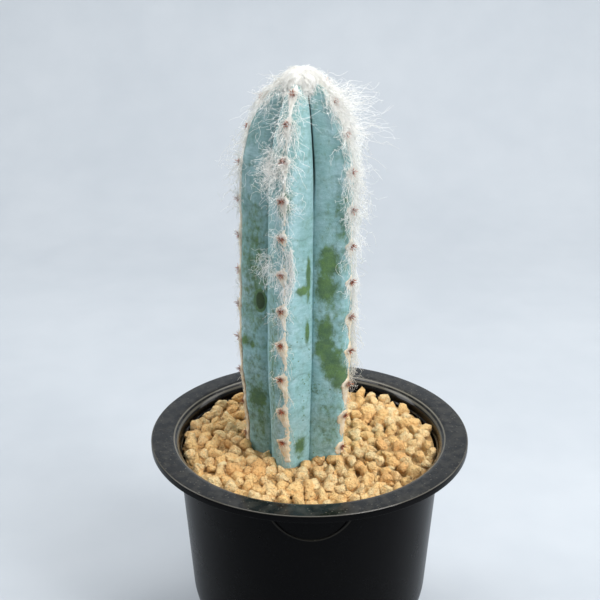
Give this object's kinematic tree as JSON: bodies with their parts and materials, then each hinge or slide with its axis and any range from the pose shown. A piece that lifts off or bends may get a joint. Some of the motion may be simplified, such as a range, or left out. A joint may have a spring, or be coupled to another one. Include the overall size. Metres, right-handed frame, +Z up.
{
  "type": "potted columnar cactus",
  "caption": "Blue ribbed columnar cactus with woolly areoles and a white hairy crown, in a black plastic pot with a wide flat rim and gravel on top.",
  "frame": {"origin": "centre of the pot's base, on the pot's axis", "axes": "+Z up along the pot's axis and the stem, -Y towards the pot's recessed front, +X to the right seen from the front"},
  "size_m": [0.15, 0.15, 0.2942],
  "materials": {
    "pot_plastic": "satin black, lightly dusty",
    "compost": "crumbly, matt",
    "gravel": "matt, porous",
    "stem_skin": "waxy bloom",
    "areole_felt": "felted, matt",
    "white_wool": "fine loose hair"
  },
  "bodies": {
    "root": {"pot": "pot_plastic", "potting_mix": "compost", "gravel_bed": "gravel", "cactus_stem": "stem_skin", "crown_wool": "white_wool", "hair_tuft_front": "white_wool", "hair_curtain_right": "white_wool", "hair_tuft_left": "white_wool", "areole_row_1": "areole_felt", "areole_row_2": "areole_felt", "areole_row_3": "areole_felt", "areole_row_4": "areole_felt", "areole_row_5": "areole_felt", "gravel_stone_01": "gravel", "gravel_stone_02": "gravel", "gravel_stone_03": "gravel", "gravel_stone_04": "gravel", "gravel_stone_05": "gravel", "gravel_stone_06": "gravel", "gravel_stone_07": "gravel", "gravel_stone_08": "gravel", "gravel_stone_09": "gravel", "gravel_stone_10": "gravel", "gravel_stone_11": "gravel", "gravel_stone_12": "gravel", "gravel_stone_13": "gravel", "gravel_stone_14": "gravel", "gravel_stone_15": "gravel", "gravel_stone_16": "gravel", "gravel_stone_17": "gravel", "gravel_stone_18": "gravel", "gravel_stone_19": "gravel", "gravel_stone_20": "gravel", "gravel_stone_21": "gravel", "gravel_stone_22": "gravel", "gravel_stone_23": "gravel", "gravel_stone_24": "gravel"}
  },
  "joints": []
}
